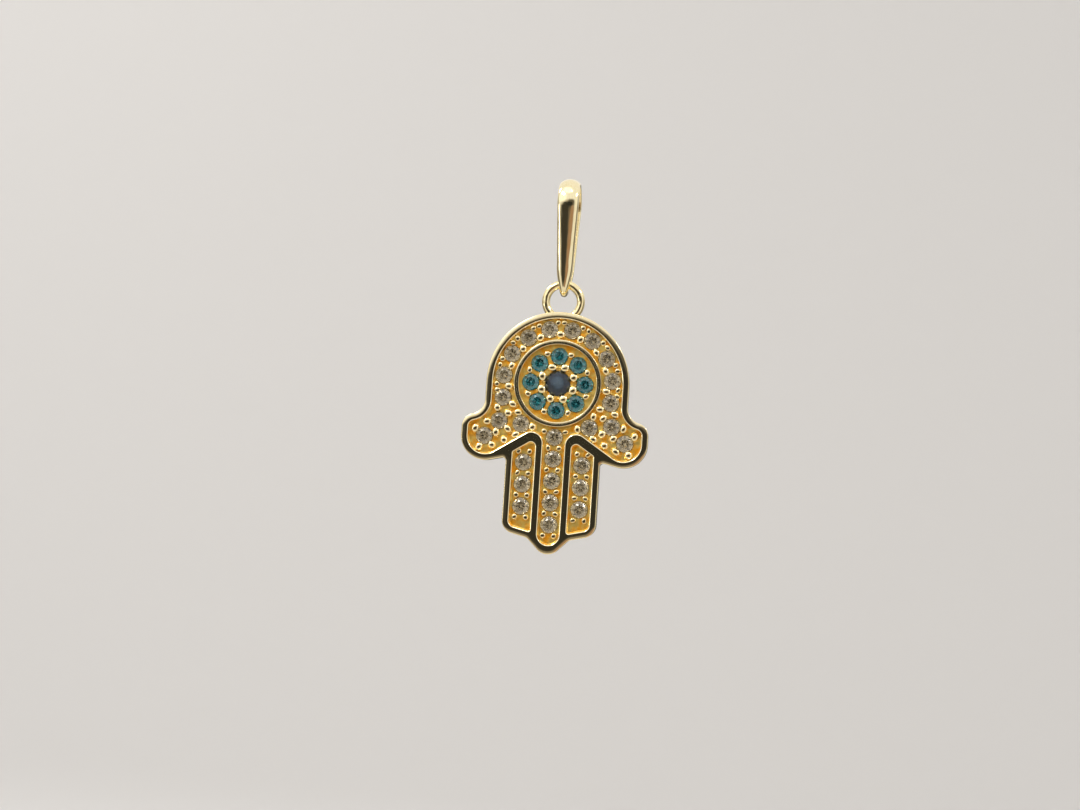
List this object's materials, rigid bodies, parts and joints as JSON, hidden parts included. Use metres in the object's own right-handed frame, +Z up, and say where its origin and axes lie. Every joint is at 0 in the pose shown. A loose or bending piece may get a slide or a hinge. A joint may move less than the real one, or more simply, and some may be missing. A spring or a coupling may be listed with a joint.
{
  "type": "hamsa pendant",
  "caption": "Gold hamsa hand pendant with raised rims, an eye of blue stones, rows of white stones, a soldered ring and a tapered bail that it swings on.",
  "frame": {"origin": "inner top of the bail, where it hangs on a chain", "axes": "+X to the right as seen from the front, the front with the stones faces -Y, +Z up"},
  "size_m": [0.011, 0.0032, 0.0224],
  "materials": {
    "gold": "polished 14 carat yellow gold",
    "white_stone": "faceted colourless stone",
    "blue_stone": "faceted teal stone",
    "centre_stone": "faceted dark blue stone"
  },
  "bodies": {
    "bail": {"bail": "gold"},
    "hand": {"hand": "gold", "centre_stone": "centre_stone", "blue_stone_01": "blue_stone", "blue_stone_02": "blue_stone", "blue_stone_03": "blue_stone", "blue_stone_04": "blue_stone", "blue_stone_05": "blue_stone", "blue_stone_06": "blue_stone", "blue_stone_07": "blue_stone", "blue_stone_08": "blue_stone", "white_stone_01": "white_stone", "white_stone_02": "white_stone", "white_stone_03": "white_stone", "white_stone_04": "white_stone", "white_stone_05": "white_stone", "white_stone_06": "white_stone", "white_stone_07": "white_stone", "white_stone_08": "white_stone", "white_stone_09": "white_stone", "white_stone_10": "white_stone", "white_stone_11": "white_stone", "white_stone_12": "white_stone", "white_stone_13": "white_stone", "white_stone_14": "white_stone", "white_stone_15": "white_stone", "white_stone_16": "white_stone", "white_stone_17": "white_stone", "white_stone_18": "white_stone", "white_stone_19": "white_stone", "white_stone_20": "white_stone", "white_stone_21": "white_stone", "white_stone_22": "white_stone", "white_stone_23": "white_stone", "white_stone_24": "white_stone", "white_stone_25": "white_stone", "white_stone_26": "white_stone", "white_stone_27": "white_stone"}
  },
  "joints": [
    {"name": "ring_swing", "type": "hinge", "parent": "bail", "child": "hand", "pos_m": [0, 0, -0.00597], "axis": [1, 0, 0], "range_deg": [-120, 120]}
  ]
}
